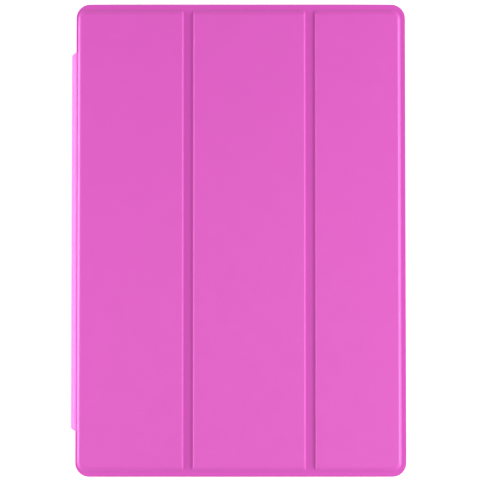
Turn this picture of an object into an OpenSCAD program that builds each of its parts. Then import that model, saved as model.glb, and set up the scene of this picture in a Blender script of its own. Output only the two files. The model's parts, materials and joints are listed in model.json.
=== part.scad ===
// Tri-fold tablet case: hard back shell, curved spine and three-panel folding cover.
// It lies closed on its back: X runs from the spine (-X) to the free edge, Y along the
// height, Z up from the back to the cover. The origin is the centre of the footprint.

/* [Tablet bay] */
// Width of the tablet that the bay holds
tablet_w = 174.1; // [172:0.1:175]
// Height of the tablet that the bay holds
tablet_h = 250.6; // [246:0.1:251.4]
// Thickness of the tablet that the bay holds
tablet_t = 7.5; // [6.5:0.1:9]
// Play between the tablet and the bay wall on each side
tablet_play = 0.2; // [0.1:0.05:0.3]

/* [Cover] */
// Width of the closed cover, without the spine
cover_w = 178.1; // [178:0.1:180]
// Height of the cover
cover_h = 255; // [254.8:0.1:258]
// Radius of the cover's four outer corners
cover_corner_r = 7.5; // [6:0.5:9]
// Flat bonded margin beside the spine
margin_spine = 1; // [0.6:0.1:2]
// Flat bonded margin at the free edge
margin_free = 2.7; // [1.5:0.1:4]
// Flat bonded margin at the two ends
margin_end = 2.9; // [2:0.1:4]
// Width of the raised part of panel 1
panel_1_w = 57.1; // [55:0.1:59]
// Width of the raised part of panel 2
panel_2_w = 60.7; // [58:0.1:62]
// Width of each crease groove
groove_w = 5.15; // [4.5:0.05:6]
// Corner radius of a raised panel at an outer edge
panel_corner_r = 5; // [3:0.5:6]
// Corner radius of a raised panel beside a groove
groove_corner_r = 1.5; // [1:0.1:2]

/* [Layers] */
// Thickness of the PU skin
skin_t = 0.6; // [0.5:0.05:0.8]
// Thickness of the boards in the cover
board_t = 1.2; // [0.9:0.1:1.5]
// Thickness of the microfibre lining of the cover and spine
lining_t = 0.4; // [0.3:0.05:0.5]
// Thickness of the microfibre liner in the shell
liner_t = 0.3; // [0.2:0.05:0.4]
// Thickness of the plastic strip in the spine
stiffener_t = 0.8; // [0.5:0.1:0.8]

/* [Shell] */
// Wall and floor thickness of the back shell
shell_t = 1.2; // [1:0.1:1.2]
// Outer radius of the shell's bottom edge
shell_edge_r = 2.5; // [2:0.1:3]
// How far each corner lip reaches over the tablet
lip_reach = 0.7; // [0.4:0.1:0.9]
// How far each lip runs along the sides from its corner
lip_run = 12; // [6:1:18]

/* [Spine] */
// How far the spine stands out beyond the cover
spine_bulge = 3; // [2.6:0.1:3.2]
// Length of the spine flap
spine_len = 204.4; // [190:0.1:210]
// Offset of the spine's middle from the cover's middle
spine_shift = -0.8; // [-2:0.1:2]
// Length of the slanting relief at each end of the spine
spine_relief = 1.5; // [1:0.1:4]

/* [Magnets] */
// Size of one edge magnet
edge_magnet = [5, 20, 1];
// Distance between neighbouring edge magnets
edge_magnet_pitch = 72; // [50:1:90]
// Diameter of the lid-switch magnet
sleep_magnet_d = 10; // [6:1:12]
// Size of the steel strip in panel 1
stand_plate = [14, 180, 0.5];

/* [Hidden] */

$fn = 64;
over = 1;               // how far a cutter runs past what it cuts
gap_half = 0.05;        // half the width of the parting line between two folding bodies
cover_gap = 0.3;        // air between the shell's rim and the cover
thin_stack = skin_t + lining_t;

// Heights, from the back upwards
floor_z = skin_t;
liner_z = floor_z + shell_t;
bay_z = liner_z + liner_t;
rim_z = bay_z + tablet_t + 0.1;
lining_z = rim_z + cover_gap;
skin_z = lining_z + lining_t;
groove_z = skin_z + skin_t;
board_top_z = skin_z + board_t;
top_z = board_top_z + skin_t;

// Places across the width
spine_x = -(cover_w + spine_bulge) / 2;
cover_x0 = spine_x + spine_bulge;
cover_x1 = cover_x0 + cover_w;
panel_1_x = cover_x0 + margin_spine;
crease_1_x = panel_1_x + panel_1_w + groove_w / 2;
panel_2_x = crease_1_x + groove_w / 2;
crease_2_x = panel_2_x + panel_2_w + groove_w / 2;
panel_3_x = crease_2_x + groove_w / 2;
panel_3_w = cover_x1 - margin_free - panel_3_x;
panel_h = cover_h - 2 * margin_end;

// Back shell
bay_w = tablet_w + 2 * tablet_play;
bay_h = tablet_h + 2 * tablet_play;
shell_w = bay_w + 2 * shell_t;
shell_h = bay_h + 2 * shell_t;
shell_x0 = cover_x0 + 0.25;
shell_cx = shell_x0 + shell_w / 2;
shell_corner_r = cover_corner_r - 0.6;
shell_inner_r = shell_edge_r - shell_t;
flat_r = shell_corner_r - shell_edge_r;
flat_w = shell_w - 2 * shell_edge_r;
flat_h = shell_h - 2 * shell_edge_r;
skin_inset = 0.5;       // how far the back skin stops inside the shell's flat back

// Cut-outs in the shell: [centre along the wall, length, height]
camera_size = [15, 26];
camera_r = 5;
camera_edge = 8;        // from the shell's sides to the camera hole
wall_mid_z = bay_z + tablet_t / 2;
port = [0, 14, 6];
speaker = [62, 24, 4.6];
jack = [-100, 8];
buttons = [88, 46, 3];  // centre, length, and height of the wall left under the notch

// Spine: one arc between the two hinge lines
hinge_x = cover_x0 - 0.2;
arc_sagitta = hinge_x - spine_x;
arc_r = groove_z * groove_z / (8 * arc_sagitta) + arc_sagitta / 2;
arc_x = spine_x + arc_r;
arc_z = groove_z / 2;
arc_half = asin(arc_z / arc_r);
parting = gap_half / arc_r * 180 / PI;
stiffener_half = 27;
pad_half = stiffener_half + 4;

pu_pink = [0.88, 0.4, 0.77];
lining_pink = [0.8, 0.42, 0.7];
shell_pink = [0.8, 0.3, 0.66];
board_grey = [0.62, 0.6, 0.57];
steel = [0.72, 0.73, 0.75];

// Rectangle from the origin, with one radius on its left corners and one on its right
module rounded(w, h, left_r, right_r) {
  translate([left_r, 0]) square([w - left_r - right_r, h]);
  translate([0, left_r]) square([w / 2, h - 2 * left_r]);
  for (y = [left_r, h - left_r]) translate([left_r, y]) circle(left_r);
  translate([w / 2, right_r]) square([w / 2, h - 2 * right_r]);
  for (y = [right_r, h - right_r]) translate([w - right_r, y]) circle(right_r);
}

// ---- back shell ----

// Section of the tray's rolled edge and wall, outwards from the flat back
module wall_section() {
  intersection() {
    translate([0, floor_z + shell_edge_r]) difference() {
      circle(shell_edge_r);
      circle(shell_inner_r);
    }
    translate([0, floor_z]) square(shell_edge_r);
  }
  translate([shell_inner_r, floor_z + shell_edge_r])
    square([shell_t, rim_z - floor_z - shell_edge_r]);
}

// Section of a snap lip, which overlaps the top of the wall
module lip_section() {
  polygon([
    [shell_inner_r + 0.3, rim_z - 1.6],
    [shell_inner_r, rim_z - 1.6],
    [shell_inner_r - lip_reach, rim_z - 0.7],
    [shell_inner_r - lip_reach, rim_z],
    [shell_inner_r + 0.3, rim_z]
  ]);
}

// A section turned round one corner of the flat back
module corner_sweep() {
  rotate_extrude(angle = 90) translate([flat_r, 0]) children();
}

// A section drawn out along +Y, its outside towards +X
module straight_sweep(length) {
  rotate([90, 0, 0]) translate([0, 0, -length]) linear_extrude(length) children();
}

// Corner i of 4, anticlockwise from +X +Y, with the corner's centre at the origin
module at_corner(i) {
  sx = (i == 0 || i == 3) ? 1 : -1;
  sy = i < 2 ? 1 : -1;
  translate([shell_cx + sx * (flat_w / 2 - flat_r), sy * (flat_h / 2 - flat_r), 0])
    rotate([0, 0, 90 * i]) children();
}

module tray() {
  translate([shell_cx - flat_w / 2, -flat_h / 2, floor_z])
    linear_extrude(shell_t) rounded(flat_w, flat_h, flat_r, flat_r);
  for (i = [0:3]) {
    run = i % 2 == 0 ? flat_h : flat_w;
    at_corner(i) {
      corner_sweep() wall_section();
      corner_sweep() lip_section();
      translate([flat_r, -(run - 2 * flat_r), 0])
        straight_sweep(run - 2 * flat_r) wall_section();
      translate([flat_r, -lip_run, 0]) straight_sweep(lip_run) lip_section();
      rotate([0, 0, 90]) translate([flat_r, 0, 0]) straight_sweep(lip_run) lip_section();
    }
  }
}

// A notch with round lower corners, cut along Y through an end wall and open at the rim
module end_notch(x, length, height) {
  translate([shell_cx + x, 0, wall_mid_z]) rotate([90, 0, 0])
    translate([0, 0, -shell_h / 2 - over]) linear_extrude(shell_edge_r + 2 * over) {
      square([length - height, height], center = true);
      for (s = [-1, 1]) translate([s * (length - height) / 2, 0]) circle(d = height);
      translate([-length / 2, 0]) square([length, rim_z]);
    }
}

module camera_hole() {
  translate([
    shell_cx + shell_w / 2 - camera_edge - camera_size[0],
    shell_h / 2 - camera_edge - camera_size[1],
    -over
  ]) linear_extrude(bay_z + 2 * over)
    rounded(camera_size[0], camera_size[1], camera_r, camera_r);
}

module back_shell() {
  color(shell_pink) difference() {
    tray();
    camera_hole();
    for (s = [-1, 1]) {
      end_notch(s * speaker[0], speaker[1], speaker[2]);
      mirror([0, 1, 0]) end_notch(s * speaker[0], speaker[1], speaker[2]);
    }
    mirror([0, 1, 0]) end_notch(port[0], port[1], port[2]);
    translate([shell_x0 + shell_w - shell_edge_r - over, buttons[0] - buttons[1] / 2,
               floor_z + buttons[2]])
      cube([shell_edge_r + 2 * over, buttons[1], rim_z]);
    translate([shell_x0 + shell_w - shell_edge_r, jack[0], wall_mid_z])
      rotate([0, 90, 0]) cylinder(d = jack[1], h = shell_edge_r + over);
    translate([shell_x0 + shell_w - shell_edge_r, jack[0] - jack[1] / 2, wall_mid_z])
      cube([shell_edge_r + over, jack[1], rim_z]);
  }
}

module shell_liner() {
  color(lining_pink) difference() {
    translate([shell_cx - flat_w / 2, -flat_h / 2, liner_z])
      linear_extrude(liner_t) rounded(flat_w, flat_h, flat_r, flat_r);
    camera_hole();
  }
}

module back_skin() {
  w = flat_w - 2 * skin_inset;
  h = flat_h - 2 * skin_inset;
  color(pu_pink) difference() {
    union() {
      translate([shell_cx - w / 2, -h / 2, 0]) linear_extrude(skin_t)
        rounded(w, h, flat_r - skin_inset, flat_r - skin_inset);
      hinge_strip(shell_x0 + 2 * shell_edge_r, 0, skin_t);
    }
    camera_hole();
    spine_room();
  }
}

// ---- spine ----

// Flat strip beside the spine, from the hinge line to x1, between two heights
module hinge_strip(x1, z0, z1) {
  translate([hinge_x, spine_shift - spine_len / 2, z0])
    cube([x1 - hinge_x, spine_len, z1 - z0]);
}

// Wedge of the XZ plane that opens towards -X from the spine's centre
module wedge(half) {
  reach = 3 * arc_r;
  polygon([
    [0, 0],
    reach * [-cos(half), sin(half)],
    [-reach, 0],
    reach * [-cos(half), -sin(half)]
  ]);
}

// A section in the XZ plane about the spine's centre, drawn out along the spine
module along_spine(length) {
  translate([arc_x, spine_shift + length / 2, arc_z])
    rotate([90, 0, 0]) linear_extrude(length) children();
}

// What the strips beside the spine give up, so that they part from it on one line
module spine_room() {
  along_spine(spine_len + over) wedge(arc_half + parting);
}

// One layer of the spine, between two radii, with slanting reliefs at both ends
module spine_layer(r0, r1, half, short) {
  y1 = spine_len / 2 - short;
  intersection() {
    along_spine(spine_len) difference() {
      intersection() {
        circle(r1);
        wedge(half);
      }
      circle(r0);
    }
    translate([0, spine_shift, -over]) linear_extrude(top_z + 2 * over) polygon([
      [arc_x, -y1],
      [hinge_x, -y1],
      [spine_x - 0.1, -y1 + spine_relief],
      [spine_x - 0.1, y1 - spine_relief],
      [hinge_x, y1],
      [arc_x, y1]
    ]);
  }
}

module spine_skin() {
  color(pu_pink) spine_layer(arc_r - skin_t, arc_r, arc_half - parting, 0);
}

module stiffener_layer() {
  spine_layer(arc_r - skin_t - stiffener_t, arc_r - skin_t, stiffener_half, 3);
}

module spine_stiffener() {
  color(board_grey) stiffener_layer();
}

module spine_lining() {
  color(lining_pink) difference() {
    union() {
      spine_layer(arc_r - thin_stack, arc_r - skin_t, arc_half - parting, 0);
      spine_layer(arc_r - thin_stack - stiffener_t, arc_r - skin_t, pad_half, 0);
    }
    stiffener_layer();
  }
}

// ---- cover panels ----

// For each panel: left and right fold lines, raised part's left edge and width, corner radii
PANELS = [
  [cover_x0, crease_1_x - gap_half, panel_1_x, panel_1_w, panel_corner_r, groove_corner_r],
  [crease_1_x + gap_half, crease_2_x - gap_half, panel_2_x, panel_2_w,
   groove_corner_r, groove_corner_r],
  [crease_2_x + gap_half, cover_x1, panel_3_x, panel_3_w, groove_corner_r, panel_corner_r]
];

// A flat layer of the cover across the whole of one panel
module flat_layer(i, z0, z1) {
  difference() {
    union() {
      translate([0, 0, z0]) linear_extrude(z1 - z0) intersection() {
        translate([cover_x0, -cover_h / 2])
          rounded(cover_w, cover_h, cover_corner_r, cover_corner_r);
        translate([PANELS[i][0], -cover_h / 2])
          square([PANELS[i][1] - PANELS[i][0], cover_h]);
      }
      if (i == 0) hinge_strip(panel_1_x + panel_corner_r, z0, z1);
    }
    if (i == 0) spine_room();
  }
}

// The raised part of one panel, drawn in by inset, between two heights
module raised(i, inset, z0, z1) {
  translate([PANELS[i][2] + inset, -panel_h / 2 + inset, z0]) linear_extrude(z1 - z0)
    rounded(PANELS[i][3] - 2 * inset, panel_h - 2 * inset,
            PANELS[i][4] - inset, PANELS[i][5] - inset);
}

module panel_skin(i) {
  color(pu_pink) difference() {
    union() {
      flat_layer(i, skin_z, groove_z);
      raised(i, 0, skin_z, top_z);
    }
    raised(i, skin_t, skin_z - over, board_top_z);
  }
}

module panel_board(i) {
  color(board_grey) difference() {
    raised(i, skin_t, skin_z, board_top_z);
    if (i == 0) stand_plate_solid();
    if (i == 2) {
      edge_magnet_row();
      sleep_magnet_solid();
    }
  }
}

module panel_lining(i) {
  color(lining_pink) flat_layer(i, lining_z, skin_z);
}

// ---- steel strip and magnets, let into the boards ----

module stand_plate_solid() {
  translate([panel_1_x + 4, -stand_plate[1] / 2, board_top_z - stand_plate[2]])
    cube(stand_plate);
}

module edge_magnet_row() {
  for (k = [-1:1])
    translate([panel_3_x + panel_3_w - 4 - edge_magnet[0],
               k * edge_magnet_pitch - edge_magnet[1] / 2, skin_z])
      cube(edge_magnet);
}

module sleep_magnet_solid() {
  translate([panel_3_x + panel_3_w - 22, -edge_magnet_pitch / 2, skin_z])
    cylinder(d = sleep_magnet_d, h = edge_magnet[2]);
}

module stand_plate() {
  color(steel) stand_plate_solid();
}

module edge_magnets() {
  color(steel) edge_magnet_row();
}

module sleep_magnet() {
  color(steel) sleep_magnet_solid();
}

back_shell();
shell_liner();
back_skin();
spine_skin();
spine_stiffener();
spine_lining();
panel_skin(0);  // panel_1_skin
panel_board(0);  // panel_1_board
panel_lining(0);  // panel_1_lining
stand_plate();
panel_skin(1);  // panel_2_skin
panel_board(1);  // panel_2_board
panel_lining(1);  // panel_2_lining
panel_skin(2);  // panel_3_skin
panel_board(2);  // panel_3_board
panel_lining(2);  // panel_3_lining
edge_magnets();
sleep_magnet();
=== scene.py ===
import json
import math

import bmesh
import bpy
import numpy as np
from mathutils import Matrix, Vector


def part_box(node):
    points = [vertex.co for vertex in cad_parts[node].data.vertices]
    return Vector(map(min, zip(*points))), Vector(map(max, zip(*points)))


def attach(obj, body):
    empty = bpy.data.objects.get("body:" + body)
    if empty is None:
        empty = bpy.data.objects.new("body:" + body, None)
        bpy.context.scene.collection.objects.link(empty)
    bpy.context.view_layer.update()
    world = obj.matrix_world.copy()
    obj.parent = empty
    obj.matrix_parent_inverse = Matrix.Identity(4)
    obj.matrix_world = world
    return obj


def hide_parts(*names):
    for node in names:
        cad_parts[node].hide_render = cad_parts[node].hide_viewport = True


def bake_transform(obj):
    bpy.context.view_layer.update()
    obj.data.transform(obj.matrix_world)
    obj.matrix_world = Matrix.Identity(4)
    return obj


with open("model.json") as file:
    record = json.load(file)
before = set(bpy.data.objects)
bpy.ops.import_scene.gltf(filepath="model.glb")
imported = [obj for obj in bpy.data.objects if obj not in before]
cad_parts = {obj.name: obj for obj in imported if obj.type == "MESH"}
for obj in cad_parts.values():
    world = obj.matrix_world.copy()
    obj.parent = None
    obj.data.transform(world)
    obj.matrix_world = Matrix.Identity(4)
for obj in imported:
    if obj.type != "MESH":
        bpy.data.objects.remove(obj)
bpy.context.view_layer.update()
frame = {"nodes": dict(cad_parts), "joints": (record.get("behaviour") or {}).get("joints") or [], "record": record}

MM = 0.001

# ---- places and sizes, read from the frame ----

joints = {j["name"]: Vector(j["pos_m"]) for j in frame["joints"]}
HINGE_X = joints["front_hinge"].x
GROOVE_Z = joints["front_hinge"].z
CREASES = [joints["crease_1"].x, joints["crease_2"].x]
SKIN_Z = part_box("panel_2_skin")[0].z
LINING_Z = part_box("panel_2_lining")[0].z
TOP_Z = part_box("panel_2_skin")[1].z
SKIN_T = GROOVE_Z - SKIN_Z
COVER_X0 = HINGE_X + 0.2 * MM
COVER_X1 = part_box("panel_3_skin")[1].x
COVER_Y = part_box("panel_3_skin")[1].y
SPINE_Y0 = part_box("spine_skin")[0].y
SPINE_Y1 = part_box("spine_skin")[1].y
SPINE_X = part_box("spine_skin")[0].x

# Raised part of each panel: its left edge, right edge and half height
boards = [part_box(f"panel_{i}_board") for i in (1, 2, 3)]
RAISED = [(lo.x - SKIN_T, hi.x + SKIN_T) for lo, hi in boards]
RAISED_Y = boards[0][1].y + SKIN_T
MARGIN_END = COVER_Y - RAISED_Y

# Shapes that the frame leaves to the looks
COVER_R = 7.5 * MM          # corner radius of the cover
OUTER_R = 5 * MM            # corner radius of a raised panel at an outer edge
GROOVE_R = 1.5 * MM         # corner radius of a raised panel beside a groove
ROLL = 0.3 * MM             # rounding of the cover's trimmed edge
FOOT = 0.3 * MM             # fillet at the foot of a raised edge
OUTER_W = 2.0 * MM          # width of the slope along a raised panel's outer sides
GROOVE_W = 0.9 * MM         # the same beside a groove
END_W = 3.0 * MM            # the same at the ends
LAST = 0.3 * MM             # how far the edge rings run on past the rounding
SEAM = 3 * MM               # distance of a seam between pieces from a raised edge
SQUARE = 1.8 * MM           # reach of the square ring round a raised panel
CORNER_GAP = 0.4 * MM       # from the centre of a groove corner to the nearest grid line
CORNER_REACH = 8.2 * MM     # how far a round outer corner reaches along X
ARC = 12                    # segments round a corner


# ---- closed sheets from patches of points ----

def linked(mesh, bm, material):
    """An object in the scene from a finished bmesh."""
    bmesh.ops.recalc_face_normals(bm, faces=bm.faces)
    for face in bm.faces:
        face.smooth = True
    bm.to_mesh(mesh)
    bm.free()
    mesh.set_sharp_from_angle(angle=math.radians(50))
    mesh.materials.append(material)
    piece = bpy.data.objects.new(mesh.name, mesh)
    bpy.context.scene.collection.objects.link(piece)
    return piece


def press_and_shade(z):
    """1 where the skin is pressed down flat, along margins and grooves, fading to 0 over the lower
    part of a raised edge, and 0 elsewhere. The skin's colour is darkened by it, partly as the pressed
    leather's own tone and partly as painted shade in the margins and grooves."""
    if z < GROOVE_Z - ROLL:
        return 0.0
    return max(0.0, min(1.0, 1 - (z - GROOVE_Z) / (0.7 * (TOP_Z - GROOVE_Z))))


def solid(name, patches, material, skip=None, kept=(), press_shade_of=press_and_shade):
    """A closed mesh from patches: arrays of points (rows, columns, 8), each holding the point on the
    outer face, the point behind it on the inner face, and its place on the flat sheet. skip(centre)
    leaves out quads of the patches, but none of the kept ones. The mask function given last says how
    pressed the skin is; that mask darkens the skin, partly as the pressed leather's own tone and partly
    as painted shade in margins and grooves."""
    index, outer, inner, flat, quads = {}, [], [], [], []

    def vertex(p):
        key = tuple(np.round(p[:3] / 1e-6).astype(int))
        if key not in index:
            index[key] = len(outer)
            outer.append(p[:3])
            inner.append(p[3:6])
            flat.append(p[6:8])
        return index[key]

    for patch, cut in [(p, skip) for p in patches] + [(p, None) for p in kept]:
        ids = [[vertex(p) for p in row] for row in patch]
        for r in range(len(ids) - 1):
            for c in range(len(ids[0]) - 1):
                around = [ids[r][c], ids[r][c + 1], ids[r + 1][c + 1], ids[r + 1][c]]
                quad = list(dict.fromkeys(around))
                if len(quad) < 3:
                    continue
                centre = sum(outer[i] for i in quad) / len(quad)
                if cut is None or not cut(centre):
                    quads.append(quad)
    edges = {}
    for q in quads:
        for a, b in zip(q, q[1:] + q[:1]):
            edges.setdefault(frozenset((a, b)), []).append((a, b))
    n = len(outer)
    faces = [list(q) for q in quads] + [[i + n for i in reversed(q)] for q in quads]
    for uses in edges.values():
        if len(uses) == 1:
            a, b = uses[0]
            faces.append([b, a, a + n, b + n])
    mesh = bpy.data.meshes.new(name)
    mesh.from_pydata([tuple(p) for p in outer + inner], [], faces)
    bm = bmesh.new()
    bm.from_mesh(mesh)
    layer = bm.loops.layers.uv.new("flat")
    # The second map holds the press mask, which also places the painted shade of margins and grooves
    press = bm.loops.layers.uv.new("press")
    for face in bm.faces:
        for loop in face.loops:
            k = loop.vert.index % n
            loop[layer].uv = flat[k]
            loop[press].uv = (press_shade_of(outer[k][2]), 0)
    bmesh.ops.delete(bm, geom=[v for v in bm.verts if not v.link_faces], context="VERTS")
    return linked(mesh, bm, material)


# ---- profiles across the cover's edge, from its outline inwards ----

def edge_stations():
    """(distance from the cover's outline, height) on the outer face, up the rolled edge."""
    low = GROOVE_Z - ROLL
    turns = [math.radians(a) for a in (0, 30, 60, 90)]
    return [(0, SKIN_Z)] + [(ROLL * (1 - math.cos(a)), low + ROLL * math.sin(a)) for a in turns]


def raised_stations(width):
    """(outer distance, outer height, inner distance, inner height) over a raised edge: a fillet at
    its foot, then a slope that eases off over width. Distances are from the raised outline, and the
    inner face lies one skin thickness behind the outer one."""
    steepest = math.atan(2 * (TOP_Z - GROOVE_Z) / width)
    for _ in range(4):
        rise = TOP_Z - GROOVE_Z - FOOT * (1 - math.cos(steepest))
        steepest = math.atan(2 * rise / width)
    found = []
    for k in range(4):
        a = steepest * k / 3
        found.append((FOOT * (math.sin(a) - math.sin(steepest)), GROOVE_Z + FOOT * (1 - math.cos(a)), a))
    for k in range(1, 8):
        t = k / 7
        a = math.atan(2 * rise * (1 - t) / width)
        found.append((width * t, TOP_Z - rise * (1 - t) ** 2, a))
    found.append((width + LAST, TOP_Z, 0))
    return [(d, z, d + SKIN_T * math.sin(a), z - SKIN_T * math.cos(a)) for d, z, a in found]


def skin_rings(side_margin, raised_r, width=OUTER_W):
    """Rings round an outer corner. Each is two tuples for the outer and inner faces:
    (inset at the side, inset at the end, corner radius, height). width is the side's rounding."""
    rings = []
    for k, (d, z) in enumerate(edge_stations()):
        # The inner face stays flat, and its rings lie a little apart
        tucked = (0.1 + 0.04 * k) * MM
        rings.append(((d, d, COVER_R - d, z), (tucked, tucked, COVER_R - tucked, SKIN_Z)))
    y_mid = MARGIN_END - SQUARE
    share = (y_mid - ROLL) / (MARGIN_END - FOOT - ROLL)
    x_mid = ROLL + share * (side_margin - FOOT - ROLL)
    r_mid = (COVER_R - ROLL) * (1 - share) + (raised_r + FOOT) * share
    rings.append(((x_mid, y_mid, r_mid, GROOVE_Z), (x_mid, y_mid, r_mid, SKIN_Z)))
    for (d, _, di, _), (e, z, ei, zi) in zip(raised_stations(width), raised_stations(END_W)):
        rings.append(((side_margin + d, MARGIN_END + e, raised_r - d, z),
                      (side_margin + di, MARGIN_END + ei, raised_r - di, zi)))
    return rings


RELIEF = 0.12 * MM          # how far the lining is pressed in along margins and grooves
LINING_INSET = 0.12 * MM    # how far the lining's edge lies inside the skin's
LINING_THIN = 0.1 * MM      # how much thinner the lining gets at its edge


def lining_rings(side_margin, raised_r, width=OUTER_W):
    """The same rings for the flat lining: its outer face lies on the skin, its inner face shows."""
    rings = []
    for (ox, oy, r, z), _ in skin_rings(side_margin, raised_r, width):
        lift = min(1.0, max(0.0, (z - GROOVE_Z) / (TOP_Z - GROOVE_Z)))
        low = LINING_Z + RELIEF * (1 - lift)
        if z < GROOVE_Z:
            ox, oy, r = ox + LINING_INSET, oy + LINING_INSET, r - LINING_INSET
            low = LINING_Z + RELIEF + LINING_THIN * (GROOVE_Z - z) / SKIN_T
        rings.append(((ox, oy, r, SKIN_Z), (ox, oy, r, low)))
    return rings


# ---- patches ----

def end_loop(side, xs, ys, flank, end, r, centre=None):
    """Points along one ring, from the seam at the +Y end round to the seam at the -Y end. side is +1
    where the ring goes round the +X side. With a centre, the corners are square, about it."""
    half = ARC // 2
    corner = []
    for m in range(ARC + 1):
        if centre is None:
            a = math.radians(90 - 90 * m / ARC)
            corner.append((flank - side * r * (1 - math.cos(a)), end - r * (1 - math.sin(a))))
        elif m <= half:
            corner.append((centre[0] + (flank - centre[0]) * m / half, end))
        else:
            corner.append((flank, end - (end - centre[1]) * (m - half) / half))
    top = [(x, end) for x in xs] + corner
    return np.array(top + [(flank, y) for y in ys] + [(x, -y) for x, y in reversed(top)])


def points(outer_xy, outer_z, inner_xy, inner_z):
    """Joins outer and inner points and flat places into one array."""
    n = len(outer_xy)
    return np.column_stack([outer_xy, np.full(n, outer_z), inner_xy, np.full(n, inner_z), outer_xy])


def ring_patch(side, xs, ys, rings, x_out, y_out, square=None):
    """The rings of one end of a panel. x_out and y_out are where an inset of 0 lies. square is the
    (flank, end, centre, outer z, inner z) of a ring with square corners, outside the others."""
    rows = []
    if square:
        flank, end, centre, z, zi = square
        xy = end_loop(side, xs, ys, flank, end, 0, centre)
        rows.append(points(xy, z, xy, zi))
    for (ox, oy, r, z), (ix, iy, ir, iz) in rings:
        xy = end_loop(side, xs, ys, x_out - side * ox, y_out - oy, r)
        inner = end_loop(side, xs, ys, x_out - side * ix, y_out - iy, ir)
        rows.append(points(xy, z, inner, iz))
    return np.array(rows)


def block_lines():
    half = ARC // 2
    return [math.sqrt(2) * math.sin(math.radians(45 * k / half)) for k in range(half + 1)]


def inner_patch(side, xs, ys, ring, x_out, y_out):
    """Fills the last ring with a grid whose corners follow its round ones."""
    (ox, oy, r, z), (_, _, _, zi) = ring
    cx, cy = x_out - side * (ox + r), y_out - oy - r
    columns = [(x, 0) for x in xs] + [(cx, u) for u in block_lines()]
    block = [(1, v) for v in reversed(block_lines())]
    rows = block + [(0, y) for y in ys] + [(-1, v) for v in block_lines()]
    patch = []
    for kind, v in rows:
        line = []
        for x, u in columns:
            w = v if kind else 0
            px = x + side * r * u * math.sqrt(1 - w * w / 2)
            py = kind * (cy + r * w * math.sqrt(1 - u * u / 2)) if kind else v
            line.append((px, py))
        patch.append(points(np.array(line), z, np.array(line), zi))
    return np.array(patch)


def spread_lines(a, b, step):
    """Evenly spaced values from a to b, both included, about step apart."""
    n = max(1, round(abs(b - a) / step))
    return [a + (b - a) * k / n for k in range(n + 1)]


CORNER_Y = COVER_Y - 9.4 * MM       # the last straight line before a round outer corner
STEP = 6 * MM


def long_lines():
    """Heights along the panels from +Y to -Y, with the spine's two ends among them."""
    upper = spread_lines(CORNER_Y, SPINE_Y1, STEP)
    middle = spread_lines(SPINE_Y1, SPINE_Y0, STEP)
    return upper + middle[1:] + spread_lines(SPINE_Y0, -CORNER_Y, STEP)[1:]


LONG = long_lines()


def end_panel(name, side, seam, material, rings_of, skip=None):
    """Panel 1 (side -1) or panel 3 (side +1), from its outer edge to a seam near its groove."""
    x_out = COVER_X1 if side > 0 else COVER_X0
    margin = abs(x_out - (RAISED[2][1] if side > 0 else RAISED[0][0]))
    xs = spread_lines(seam, x_out - side * CORNER_REACH, STEP)
    rings = rings_of(margin, OUTER_R)
    return solid(name, [ring_patch(side, xs, LONG, rings, x_out, COVER_Y),
                        inner_patch(side, xs, LONG, rings[-1], x_out, COVER_Y)], material, skip)


def crease(name, i, material, rings_of):
    """The strip over crease i, from a seam on one raised panel to a seam on the next."""
    middle, patches = CREASES[i], []
    end_rows = rings_of(MARGIN_END, GROOVE_R, GROOVE_W)
    edge, raised = end_rows[:6], end_rows[6:]
    centre_y = RAISED_Y - GROOVE_R
    last_y = RAISED_Y - END_W - MM
    ys = [last_y] + LONG[1:-1] + [-last_y]
    top_xy = []
    for side, x_out in ((1, RAISED[i][1]), (-1, RAISED[i + 1][0])):
        xs = spread_lines(x_out - side * SEAM, x_out - side * (GROOVE_R + CORNER_GAP), MM)
        rings = [((o[0] - MARGIN_END, o[1] - MARGIN_END, o[2], o[3]),
                  (n[0] - MARGIN_END, n[1] - MARGIN_END, n[2], n[3])) for o, n in raised]
        z, zi = edge[-1][0][3], edge[-1][1][3]
        centre = (x_out - side * GROOVE_R, centre_y)
        square = (middle, COVER_Y - edge[-1][0][1], centre, z, zi)
        patches.append(ring_patch(side, xs, ys, rings, x_out, RAISED_Y, square))
        patches.append(inner_patch(side, xs, ys, rings[-1], x_out, RAISED_Y))
        line = end_loop(side, xs, ys, middle, square[1], 0, centre)[:len(xs) + ARC // 2 + 1, 0]
        top_xy = top_xy + list(line if side > 0 else line[::-1][1:])
    patches += end_strips(top_xy, edge)
    return solid(name, patches, material)


def end_strips(columns, edge):
    """The margins at both ends across some columns, from the trimmed edge inwards."""
    found = []
    for s in (1, -1):
        rows = []
        for (_, oy, _, z), (_, iy, _, zi) in edge:
            outer = np.array([(x, s * (COVER_Y - oy)) for x in columns])
            inner = np.array([(x, s * (COVER_Y - iy)) for x in columns])
            rows.append(points(outer, z, inner, zi))
        found.append(np.array(rows))
    return found


def middle_panel(name, material, rings_of):
    """Panel 2 between its two seams."""
    columns = spread_lines(RAISED[1][0] + SEAM, RAISED[1][1] - SEAM, STEP)
    rings = rings_of(MARGIN_END, GROOVE_R, GROOVE_W)
    patches = end_strips(columns, rings)
    last = rings[-1]
    rows = [COVER_Y - last[0][1]] + LONG[1:-1] + [-(COVER_Y - last[0][1])]
    grid = [points(np.array([(x, y) for x in columns]), last[0][3],
                   np.array([(x, y) for x in columns]), last[1][3]) for y in rows]
    return solid(name, patches + [np.array(grid)], material)


BOARD_GAP = 0.02 * MM       # between a board and the skin or lining on it
BOARD_RIM = 0.15 * MM       # least height of a board's rim over the lining


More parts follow.
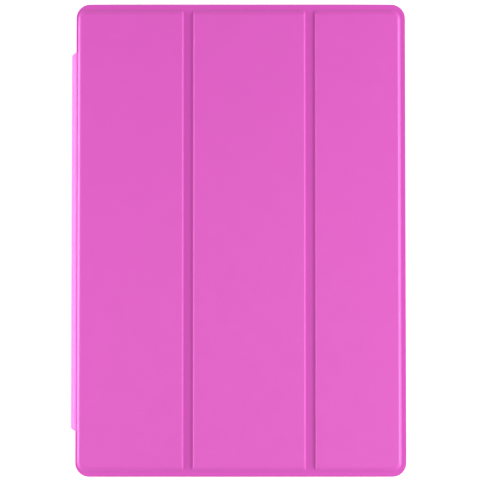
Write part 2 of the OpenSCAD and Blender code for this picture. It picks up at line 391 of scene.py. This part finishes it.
def board(name, i, material):
    """The stiff board under panel i, which fills the hollow behind the skin."""
    shapes = [(OUTER_R, OUTER_W) if outer else (GROOVE_R, GROOVE_W) for outer in (i == 2, i == 0)]
    stations = [raised_stations(width) for width in (shapes[0][1], shapes[1][1], END_W)]
    loops = []
    for right, left, end in zip(*stations):
        if end[3] < SKIN_Z + BOARD_RIM:
            continue
        y = RAISED_Y - end[2]
        sides = ((RAISED[i][1] - right[2], shapes[0][0] - right[2], 1),
                 (RAISED[i][0] + left[2], shapes[1][0] - left[2], -1))
        corners = [[(x - side * r * (1 - math.cos(a)), y - r * (1 - math.sin(a)))
                    for a in [math.radians(15 * k) for k in range(7)]] for x, r, side in sides]
        top = corners[0] + corners[1][::-1]
        loops.append(([*top, *[(x, -y) for x, y in reversed(top)]], end[3] - BOARD_GAP))
    loops.insert(0, (loops[0][0], SKIN_Z + BOARD_GAP))
    bm = bmesh.new()
    rows = [[bm.verts.new((x, y, z)) for x, y in loop] for loop, z in loops]
    for a, b in zip(rows, rows[1:]):
        for k in range(len(a)):
            m = (k + 1) % len(a)
            bm.faces.new([a[k], a[m], b[m], b[k]])
    bm.faces.new(rows[0])
    bm.faces.new(rows[-1])
    return linked(bpy.data.meshes.new(name), bm, material)


# ---- hinge strips: a section in the XZ plane, drawn along the spine ----

CENTRE_Z = GROOVE_Z / 2
SAG = HINGE_X - SPINE_X
SPINE_R = GROOVE_Z ** 2 / (8 * SAG) + SAG / 2
CENTRE_X = SPINE_X + SPINE_R
HALF_ANGLE = math.degrees(math.asin(CENTRE_Z / SPINE_R))
FOLD_LEAD = -0.3 * MM       # from a flat strip's end, where the rounding of its fold aims at
FRONT_FLAT = 0.03 * MM      # flat strip between the foot of panel 1 and the front fold
BACK_FLAT = 0.4 * MM        # where the back fold starts, from the hinge line
BEND = 14                   # degrees of the arc that the rounding of each fold takes
ARC_STEP = 6                # degrees between lines along the spine
SPINE_SEAM = 30             # angle of the seams between the spine and its two hinge strips
END_RELIEF = 1.5 * MM       # how much shorter the spine is at its outermost line
LINING_T = SKIN_Z - LINING_Z
LINING_DEPTH = SKIN_T + LINING_T
PAD_T = 0.8 * MM            # extra thickness behind the stiffener
PAD_ANGLE = 36              # degrees from the spine's middle to the end of that thickness
PAD_FADE = 4                # degrees over which it ends
SPINE_MID = (SPINE_Y0 + SPINE_Y1) / 2
SPINE_HALF = (SPINE_Y1 - SPINE_Y0) / 2


def arc_point(angle):
    a = math.radians(angle)
    return (CENTRE_X - SPINE_R * math.cos(a), CENTRE_Z + SPINE_R * math.sin(a))


def fold_curve(flat_end, angle):
    """Points that round the fold between a flat strip and the spine's arc."""
    corner = (flat_end[0] + FOLD_LEAD, flat_end[1])
    last = arc_point(angle)
    found = []
    for t in (0, 0.25, 0.5, 0.75, 1):
        w = ((1 - t) ** 2, 2 * t * (1 - t), t * t)
        found.append(tuple(w[0] * a + w[1] * b + w[2] * c for a, b, c in zip(flat_end, corner, last)))
    return found


def arc_points(a, b):
    return [arc_point(x) for x in spread_lines(a, b, ARC_STEP)]


def pad_share(z):
    """1 behind the spine's stiffener, 0 near the folds."""
    angle = abs(math.degrees(math.asin(max(-1, min(1, (z - CENTRE_Z) / SPINE_R)))))
    return max(0.0, min(1.0, (PAD_ANGLE - angle) / PAD_FADE))


def section(path, outer_depth, inner_depth):
    """Columns (outer x, outer z, inner x, inner z, place) at two depths behind a path. A depth is a
    function of the path's point."""
    p = np.array(path)
    tangent = np.gradient(p, axis=0)
    tangent /= np.linalg.norm(tangent, axis=1)[:, None]
    into = np.column_stack([-tangent[:, 1], tangent[:, 0]])
    place = np.concatenate([[0], np.cumsum(np.linalg.norm(np.diff(p, axis=0), axis=1))])
    found = []
    for k, (x, z) in enumerate(path):
        o = p[k] + into[k] * outer_depth(x, z)
        i = p[k] + into[k] * inner_depth(x, z)
        found.append((o[0], o[1], i[0], i[1], path[0][0] - place[k]))
    return found


def drawn(columns):
    """A patch from a section, with the spine's slanting reliefs at both ends."""
    rows = []
    for y in [v for v in LONG if SPINE_Y0 - 1e-6 <= v <= SPINE_Y1 + 1e-6]:
        row = []
        for xo, zo, xi, zi, place in columns:
            past = max(0.0, min(1.0, (HINGE_X - min(xo, HINGE_X)) / SAG))
            yy = SPINE_MID + (y - SPINE_MID) * (1 - past * END_RELIEF / SPINE_HALF)
            row.append((xo, yy, zo, xi, yy, zi, place, yy))
        rows.append(row)
    return np.array(rows)


def front_path():
    """The raised edge of panel 1 at groove level, and then the front fold to the spine's seam."""
    flat_end = (RAISED[0][0] - FOOT - FRONT_FLAT, GROOVE_Z)
    flat = [(RAISED[0][0] + d, GROOVE_Z) for d, _, _, _ in reversed(raised_stations(OUTER_W))]
    fold = fold_curve(flat_end, HALF_ANGLE - BEND)
    return flat, fold + arc_points(HALF_ANGLE - BEND, SPINE_SEAM)[1:]


def back_path(flat_xs):
    """From the seam on the spine over the back fold and along the shell's back."""
    fold = fold_curve((HINGE_X + BACK_FLAT, 0), BEND - HALF_ANGLE)
    return arc_points(-SPINE_SEAM, BEND - HALF_ANGLE)[:-1] + fold[::-1] + [(x, 0) for x in flat_xs]


def front_hinge_skin(name, material):
    flat, rest = front_path()
    bent = section([flat[-1]] + rest, lambda x, z: 0, lambda x, z: SKIN_T)[1:]
    raised = [(RAISED[0][0] + d, z, RAISED[0][0] + di, zi, RAISED[0][0] + d)
              for d, z, di, zi in reversed(raised_stations(OUTER_W))]
    # The hinge strip gets no pressed tone and no painted shade
    return solid(name, [drawn(raised + bent)], material, press_shade_of=lambda z: 0.0)


def front_hinge_lining(name, material):
    flat, rest = front_path()
    bent = section([flat[-1]] + rest, lambda x, z: SKIN_T,
                   lambda x, z: LINING_DEPTH + PAD_T * pad_share(z) * (x < HINGE_X))[1:]
    raised = []
    for (d, z, _, _), (x, _) in zip(reversed(raised_stations(OUTER_W)), flat):
        lift = (z - GROOVE_Z) / (TOP_Z - GROOVE_Z)
        raised.append((x, SKIN_Z, x, LINING_Z + RELIEF * (1 - lift), x))
    return solid(name, [drawn(raised + bent)], material)


def spine_layer(name, material, outer_depth, inner_depth):
    path = arc_points(SPINE_SEAM, -SPINE_SEAM)
    columns = section(path, lambda x, z: outer_depth, lambda x, z: inner_depth)
    return solid(name, [drawn(columns)], material)


def back_hinge_layer(name, material, flat_xs, outer_depth, inner_depth):
    columns = section(back_path(flat_xs), outer_depth, inner_depth)
    return solid(name, [drawn(columns)], material)


# ---- the skin on the shell's back, with the camera hole ----

BACK_X1, BACK_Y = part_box("back_skin")[1].xy
BACK_W = 170.9 * MM         # width of the sheet without the strip to the hinge
BACK_X0 = BACK_X1 - BACK_W
BACK_R = 3.9 * MM
CLEAR = 0.3 * MM            # from the centre of a corner to the nearest grid line
BACK_SEAM = BACK_X0 + BACK_R + CLEAR        # where the hinge strip joins the sheet
CAMERA = next(o["box_m"] for o in frame["record"]["physics"]["openings"]
              if o["name"] == "camera_hole")
HOLE = [(CAMERA[0][k] + CAMERA[1][k]) / 2 for k in (0, 1)]
HOLE_HALF = (7.8 * MM, 13.3 * MM)
HOLE_R = 5.3 * MM
BLOCK = 0.45 * MM           # width of the rings of mesh round the camera hole

# The sheet's rolled edge: (distance from the outline, height)
ROLLED = [(0, 0.3 * MM), (0.04 * MM, 0.15 * MM), (0.15 * MM, 0.04 * MM), (0.3 * MM, 0)]


def hole_lines(k):
    """Grid lines through the block round the hole, along X (k = 0) or Y (k = 1)."""
    half = ARC // 2
    straight = HOLE_HALF[k] - HOLE_R
    upper = [straight + (HOLE_R + BLOCK) * m / half for m in range(half + 1)]
    return [HOLE[k] - v for v in reversed(upper)] + [HOLE[k] + v for v in upper]


def hole_patch(extra):
    """Rings round the camera hole, rolled at its edge. extra are the rows that cross its sides."""
    half, rows = ARC // 2, []
    cx, cy = HOLE_HALF[0] - HOLE_R, HOLE_HALF[1] - HOLE_R
    for d, z in ROLLED + [(BLOCK, 0)]:
        quarter = []
        for m in range(ARC + 1):
            if d < BLOCK:
                a = math.radians(90 - 90 * m / ARC)
                quarter.append((cx + (HOLE_R + d) * math.cos(a), cy + (HOLE_R + d) * math.sin(a)))
            elif m <= half:
                quarter.append((cx + (HOLE_R + BLOCK) * m / half, HOLE_HALF[1] + BLOCK))
            else:
                quarter.append((HOLE_HALF[0] + BLOCK, cy + (HOLE_R + BLOCK) * (ARC - m) / half))
        right = quarter + [(quarter[-1][0], y - HOLE[1]) for y in extra]
        right += [(x, -y) for x, y in reversed(quarter)]
        ring = right + [(-x, y) for x, y in reversed(right)]
        xy = np.array([(HOLE[0] + x, HOLE[1] + y) for x, y in ring + ring[:1]])
        rows.append(points(xy, z, xy, SKIN_T))
    return np.array(rows)


def back_sheet(name, material):
    """The sheet on the back, open at the left where the hinge strip joins it."""
    limit = BACK_Y - BACK_R - CLEAR
    hole_xs, hole_ys = hole_lines(0), hole_lines(1)
    ys = [y for y in LONG if abs(y) < limit and not hole_ys[0] - MM < y < hole_ys[-1] + MM]
    ys = sorted(set(ys + [limit, -limit, SPINE_Y1] + hole_ys), reverse=True)
    rings = [((d, d, BACK_R - d, z), (d, d, BACK_R - d, SKIN_T)) for d, z in ROLLED]
    patches = []
    for side, x_out in ((1, BACK_X1), (-1, BACK_X0)):
        last = x_out - side * (BACK_R + CLEAR)
        xs = spread_lines(0, last, STEP)
        if side > 0:
            xs = spread_lines(0, hole_xs[0], STEP)[:-1] + hole_xs + [last]
        patches.append(ring_patch(side, xs, ys, rings, x_out, BACK_Y))
        patches.append(inner_patch(side, xs, ys, rings[-1], x_out, BACK_Y))

    def left_out(p):
        in_hole = abs(p[0] - HOLE[0]) < HOLE_HALF[0] and abs(p[1] - HOLE[1]) < HOLE_HALF[1]
        in_block = all(abs(p[k] - HOLE[k]) < HOLE_HALF[k] + BLOCK for k in (0, 1))
        return in_hole or in_block or (p[0] < BACK_SEAM and SPINE_Y0 < p[1] < SPINE_Y1)

    return solid(name, patches, material, left_out, [hole_patch([SPINE_Y1])])


# ---- materials ----

def new_material(name, flat):
    """A material, its Principled shader, a maker of nodes, and a place in millimetres: on the flat
    sheet for pieces made here, or in the row frame for CAD nodes."""
    material = bpy.data.materials.new(name)
    material.use_nodes = True
    tree = material.node_tree
    shader = tree.nodes["Principled BSDF"]

    def node(kind, values=(), links=(), **settings):
        n = tree.nodes.new(kind)
        for key, value in settings.items():
            setattr(n, key, value)
        for key, value in dict(values).items():
            n.inputs[key].default_value = value
        for key, source in dict(links).items():
            tree.links.new(source, n.inputs[key])
        return n

    if flat:
        place = node("ShaderNodeUVMap", uv_map="flat").outputs["UV"]
    else:
        place = node("ShaderNodeTexCoord").outputs["Object"]
    scaled = node("ShaderNodeVectorMath", {"Scale": 1000}, {0: place}, operation="SCALE")
    return material, shader, node, scaled.outputs["Vector"], tree.links.new


def noise(node, place, size, detail=2.0, roughness=0.5, stretch=None):
    """A noise field with features of about size millimetres."""
    if stretch:
        place = node("ShaderNodeVectorMath", {1: stretch}, {0: place},
                     operation="MULTIPLY").outputs["Vector"]
    n = node("ShaderNodeTexNoise", {"Scale": 1 / size, "Detail": detail, "Roughness": roughness},
             {"Vector": place})
    return n.outputs["Fac"]


def spread(node, source, low, high, start=0.3, end=0.7):
    """source, from start to end, turned into a number from low to high."""
    n = node("ShaderNodeMapRange", {"From Min": start, "From Max": end, "To Min": low,
                                    "To Max": high}, {"Value": source})
    return n.outputs["Result"]


def mixed(node, link, factor, a, b):
    """A colour between a and b by a factor from 0 to 1."""
    n = node("ShaderNodeMix", data_type="RGBA")
    colours = [i for i in n.inputs if i.type == "RGBA"]
    for socket, colour in zip(colours, (a, b)):
        if isinstance(colour, tuple):
            socket.default_value = (*colour, 1)
        else:
            link(colour, socket)
    link(factor, n.inputs["Factor"])
    return next(o for o in n.outputs if o.type == "RGBA")


def bumped(node, link, shader, layers):
    """Bump nodes in a row, each (height field, depth in millimetres, strength)."""
    normal = None
    for height, depth, strength in layers:
        n = node("ShaderNodeBump", {"Strength": strength, "Distance": depth * MM},
                 {"Height": height})
        if normal is not None:
            link(normal, n.inputs["Normal"])
        normal = n.outputs["Normal"]
    link(normal, shader.inputs["Normal"])


def pu_skin():
    """Smooth coated PU with a fine pebble grain."""
    material, shader, node, place, link = new_material("pu_skin", True)
    grain = node("ShaderNodeTexVoronoi", {"Scale": 1 / 0.55, "Smoothness": 0.6},
                 {"Vector": place}, feature="SMOOTH_F1").outputs["Distance"]
    fine = noise(node, place, 0.3, 3)
    cloth = noise(node, place, 14, 3, 0.55)
    wave = noise(node, place, 45, 2)
    worn = noise(node, place, 5, 4, 0.6)
    colour = mixed(node, link, spread(node, cloth, 0, 1),
                   (0.590, 0.060, 0.435), (0.604, 0.063, 0.446))
    pits = spread(node, grain, 0.35, 0, 0.05, 0.45)
    colour = mixed(node, link, pits, colour, (0.565, 0.056, 0.412))
    # Darker in pressed margins and grooves: partly the leather's own tone, partly painted shade
    mask = node("ShaderNodeUVMap", uv_map="press").outputs["UV"]
    press = node("ShaderNodeSeparateXYZ", {}, {0: mask}).outputs["X"]
    colour = mixed(node, link, spread(node, press, 0, 0.8, 0, 1), colour, (0.566, 0.056, 0.420))
    link(colour, shader.inputs["Base Color"])
    dull = spread(node, press, 0, 0.12, 0, 1)
    rough = node("ShaderNodeMath", {}, {0: spread(node, worn, 0.38, 0.50), 1: dull}, operation="ADD")
    link(rough.outputs["Value"], shader.inputs["Roughness"])
    link(spread(node, press, 0.55, 0.4, 0, 1), shader.inputs["Specular IOR Level"])
    shader.inputs["Coat Weight"].default_value = 0.12
    shader.inputs["Coat Roughness"].default_value = 0.32
    shader.inputs["Sheen Weight"].default_value = 0.4
    shader.inputs["Sheen Roughness"].default_value = 0.47
    bumped(node, link, shader, [(wave, 0.25, 0.12), (grain, 0.05, 0.35), (fine, 0.02, 0.3)])
    return material


def microfibre(name, flat):
    """Brushed lining with a short nap."""
    material, shader, node, place, link = new_material(name, flat)
    nap = noise(node, place, 0.35, 4, 0.65, (1.0, 0.45, 1.0))
    brushed = noise(node, place, 16, 4, 0.6, (1.0, 0.5, 1.0))
    fuzz = noise(node, place, 1.4, 3, 0.6)
    colour = mixed(node, link, spread(node, brushed, 0, 1, 0.35, 0.65),
                   (0.515, 0.110, 0.368), (0.560, 0.130, 0.406))
    colour = mixed(node, link, spread(node, nap, 0, 0.5), colour, (0.430, 0.082, 0.300))
    link(colour, shader.inputs["Base Color"])
    link(spread(node, fuzz, 0.84, 0.96), shader.inputs["Roughness"])
    shader.inputs["Specular IOR Level"].default_value = 0.2
    shader.inputs["Sheen Weight"].default_value = 0.35
    shader.inputs["Sheen Roughness"].default_value = 0.45
    shader.inputs["Sheen Tint"].default_value = (1.0, 0.72, 0.92, 1)
    bumped(node, link, shader, [(fuzz, 0.08, 0.5), (nap, 0.06, 0.7)])
    return material


def moulded_shell():
    """Hard moulded plastic with a fine spark-eroded texture."""
    material, shader, node, place, link = new_material("moulded_shell", False)
    texture = noise(node, place, 0.28, 3, 0.6)
    flow = noise(node, place, 38, 3, 0.5, (1.0, 0.35, 1.0))
    colour = mixed(node, link, spread(node, flow, 0, 1),
                   (0.560, 0.078, 0.405), (0.595, 0.088, 0.430))
    link(colour, shader.inputs["Base Color"])
    link(spread(node, texture, 0.42, 0.54), shader.inputs["Roughness"])
    shader.inputs["Specular IOR Level"].default_value = 0.5
    shader.inputs["Subsurface Weight"].default_value = 0.05
    shader.inputs["Subsurface Scale"].default_value = 0.002
    bumped(node, link, shader, [(texture, 0.03, 0.5)])
    return material


def hidden_part(name, dark, light, metallic, rough, size, stretch=None):
    """A plain stiff part: board, plastic strip, plate or magnet."""
    material, shader, node, place, link = new_material(name, False)
    field = noise(node, place, size, 4, 0.6, stretch)
    link(mixed(node, link, spread(node, field, 0, 1), dark, light), shader.inputs["Base Color"])
    link(spread(node, field, rough - 0.06, rough + 0.06), shader.inputs["Roughness"])
    shader.inputs["Metallic"].default_value = metallic
    bumped(node, link, shader, [(field, 0.03, 0.4)])
    return material


# ---- the object ----

skin_pu = pu_skin()
lining_flat = microfibre("microfibre_lining", True)
lining_tray = microfibre("microfibre_liner", False)


def joined(piece, body, nodes):
    """The piece rides on a body named by a string. For a tuple (a, b, start, end) the tuple is not used: the piece
    only gets its transform applied.
    """
    if isinstance(body, str):
        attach(piece, body)
    else:
        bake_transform(piece)
    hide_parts(*nodes)


def in_spine_cut(p):
    return p[0] < RAISED[0][0] + OUTER_W + LAST and SPINE_Y0 < p[1] < SPINE_Y1


# ---- where the pieces that cross a joint start and end their bend ----

CREASE_REACH = 2.2 * MM     # on each side of a crease
FOLD_TURN = 6               # degrees of the spine's arc


def on_arc(angle):
    x, z = arc_point(angle)
    return (x, 0, z)


def crease_fold(i):
    ends = [(CREASES[i] + side * CREASE_REACH, 0, GROOVE_Z) for side in (-1, 1)]
    return (f"panel_{i + 1}", f"panel_{i + 2}", *ends)


creases = [crease_fold(0), crease_fold(1)]
front_fold = ("spine", "panel_1", on_arc(HALF_ANGLE - FOLD_TURN), (HINGE_X + 0.55 * MM, 0, GROOVE_Z))
lining_fold = ("spine", "panel_1", (HINGE_X, 0, GROOVE_Z - 0.8 * MM),
               (HINGE_X + 1.2 * MM, 0, GROOVE_Z))
back_fold = ("shell", "spine", (HINGE_X + 0.8 * MM, 0, 0), on_arc(FOLD_TURN - HALF_ANGLE))


# ---- the pieces ----

for layer, rings_of, material, finish in (("skin", skin_rings, skin_pu, "skin"),
                                          ("lining", lining_rings, lining_flat, "lining")):
    word = "pu_skin" if layer == "skin" else "microfibre"
    panel = [f"panel_{i}_{layer}" for i in (1, 2, 3)]
    joined(end_panel(f"panel_1_{word}", -1, RAISED[0][1] - SEAM, material, rings_of, in_spine_cut),
           "panel_1", panel[:1])
    joined(crease(f"crease_1_{word}", 0, material, rings_of), creases[0], panel[:2])
    joined(middle_panel(f"panel_2_{word}", material, rings_of), "panel_2", panel[1:2])
    joined(crease(f"crease_2_{word}", 1, material, rings_of), creases[1], panel[1:])
    joined(end_panel(f"panel_3_{word}", 1, RAISED[2][0] + SEAM, material, rings_of),
           "panel_3", panel[2:])

joined(front_hinge_skin("front_hinge_pu_skin", skin_pu), front_fold,
       ["spine_skin", "panel_1_skin"])
joined(front_hinge_lining("front_hinge_microfibre", lining_flat), lining_fold,
       ["spine_lining", "panel_1_lining"])
joined(spine_layer("spine_pu_skin", skin_pu, 0, SKIN_T), "spine", ["spine_skin"])
joined(spine_layer("spine_microfibre", lining_flat, SKIN_T, LINING_DEPTH + PAD_T), "spine",
       ["spine_lining"])
joined(back_hinge_layer("back_hinge_pu_skin", skin_pu, spread_lines(HINGE_X + MM, BACK_SEAM, MM),
                        lambda x, z: 0, lambda x, z: SKIN_T),
       back_fold, ["spine_skin", "back_skin"])
joined(back_hinge_layer("back_hinge_microfibre", lining_flat, [HINGE_X + MM, HINGE_X + 1.3 * MM],
                        lambda x, z: SKIN_T,
                        lambda x, z: LINING_DEPTH + PAD_T * pad_share(z) * (x < HINGE_X)),
       back_fold, ["spine_lining"])
joined(back_sheet("back_pu_skin", skin_pu), "shell", ["back_skin"])

greyboard = hidden_part("grey_board", (0.30, 0.28, 0.25), (0.44, 0.42, 0.38), 0, 0.85, 0.8)
strip = hidden_part("stiffener_strip", (0.05, 0.05, 0.05), (0.09, 0.09, 0.09), 0, 0.5, 2.5)
plate = hidden_part("plate_steel", (0.48, 0.49, 0.50), (0.62, 0.63, 0.64), 1, 0.34, 1.2,
                    (1.0, 0.08, 1.0))
nickel = hidden_part("magnet_nickel", (0.56, 0.55, 0.52), (0.68, 0.67, 0.64), 1, 0.24, 1.5)
finishes = {"back_shell": moulded_shell(), "shell_liner": lining_tray, "spine_stiffener": strip,
            "stand_plate": plate, "edge_magnets": nickel, "sleep_magnet": nickel}
for i in range(3):
    joined(board(f"panel_{i + 1}_greyboard", i, greyboard), f"panel_{i + 1}",
           [f"panel_{i + 1}_board"])
for part, material in finishes.items():
    mesh = frame["nodes"][part].data
    mesh.materials.clear()
    mesh.materials.append(material)

rim = frame["nodes"]["back_shell"].modifiers.new("softened_edges", "BEVEL")
rim.width = 0.22 * MM
rim.segments = 2
rim.limit_method = "ANGLE"
rim.angle_limit = math.radians(40)


# ---- floor, light and camera ----

def area_light(name, place, target, size, watts):
    data = bpy.data.lights.new(name, "AREA")
    data.shape = "RECTANGLE"
    data.size, data.size_y = size
    data.energy = watts
    lamp = bpy.data.objects.new(name, data)
    bpy.context.scene.collection.objects.link(lamp)
    lamp.location = place
    lamp.rotation_euler = (Vector(target) - Vector(place)).to_track_quat("-Z", "Y").to_euler()


FLOOR = 3                   # metres from the middle of the floor to its edges
FLOOR_GAP = 0.1 * MM        # between the floor and the case
mesh = bpy.data.meshes.new("floor")
mesh.from_pydata([(-FLOOR, -FLOOR, 0), (FLOOR, -FLOOR, 0), (FLOOR, FLOOR, 0), (-FLOOR, FLOOR, 0)],
                 [], [(0, 1, 2, 3)])
floor = bpy.data.objects.new("floor", mesh)
floor.location.z = -FLOOR_GAP
bpy.context.scene.collection.objects.link(floor)
paper, shader, node, place, link = new_material("white_paper", False)
fibres = noise(node, place, 2.5, 3)
link(mixed(node, link, spread(node, fibres, 0, 1), (0.90, 0.90, 0.90), (0.93, 0.93, 0.93)),
     shader.inputs["Base Color"])
shader.inputs["Roughness"].default_value = 0.9
shader.inputs["Emission Color"].default_value = (1, 1, 1, 1)
shader.inputs["Emission Strength"].default_value = 0.36
mesh.materials.append(paper)

area_light("key_right", (0.72, -0.03, 0.36), (0.05, 0, 0), (0.8, 0.3), 7.2)
area_light("fill_left", (-0.5, -0.02, 0.15), (-0.05, 0, 0), (0.6, 0.2), 1.85)
area_light("rim_left", (-0.4, -0.02, 0.055), (-0.09, 0, 0.006), (0.5, 0.08), 0.8)
area_light("top", (0.25, -0.35, 1.5), (0, 0, 0), (1.2, 1.2), 4.7)

world = bpy.data.worlds.new("studio")
world.use_nodes = True
world.node_tree.nodes["Background"].inputs["Color"].default_value = (1, 1, 1, 1)
world.node_tree.nodes["Background"].inputs["Strength"].default_value = 0.47
bpy.context.scene.world = world
bpy.context.scene.view_settings.view_transform = "Standard"

LEAN = math.radians(1.46)   # how far the camera stands off the vertical, towards -Y
DISTANCE = 0.7183
data = bpy.data.cameras.new("camera")
data.lens = 100
data.sensor_width = 36
camera = bpy.data.objects.new("camera", data)
bpy.context.scene.collection.objects.link(camera)
aim = Vector((1.06 * MM, -0.22 * MM, TOP_Z))
camera.location = aim + DISTANCE * Vector((0, -math.sin(LEAN), math.cos(LEAN)))
camera.rotation_euler = (LEAN, 0, 0)
bpy.context.scene.camera = camera
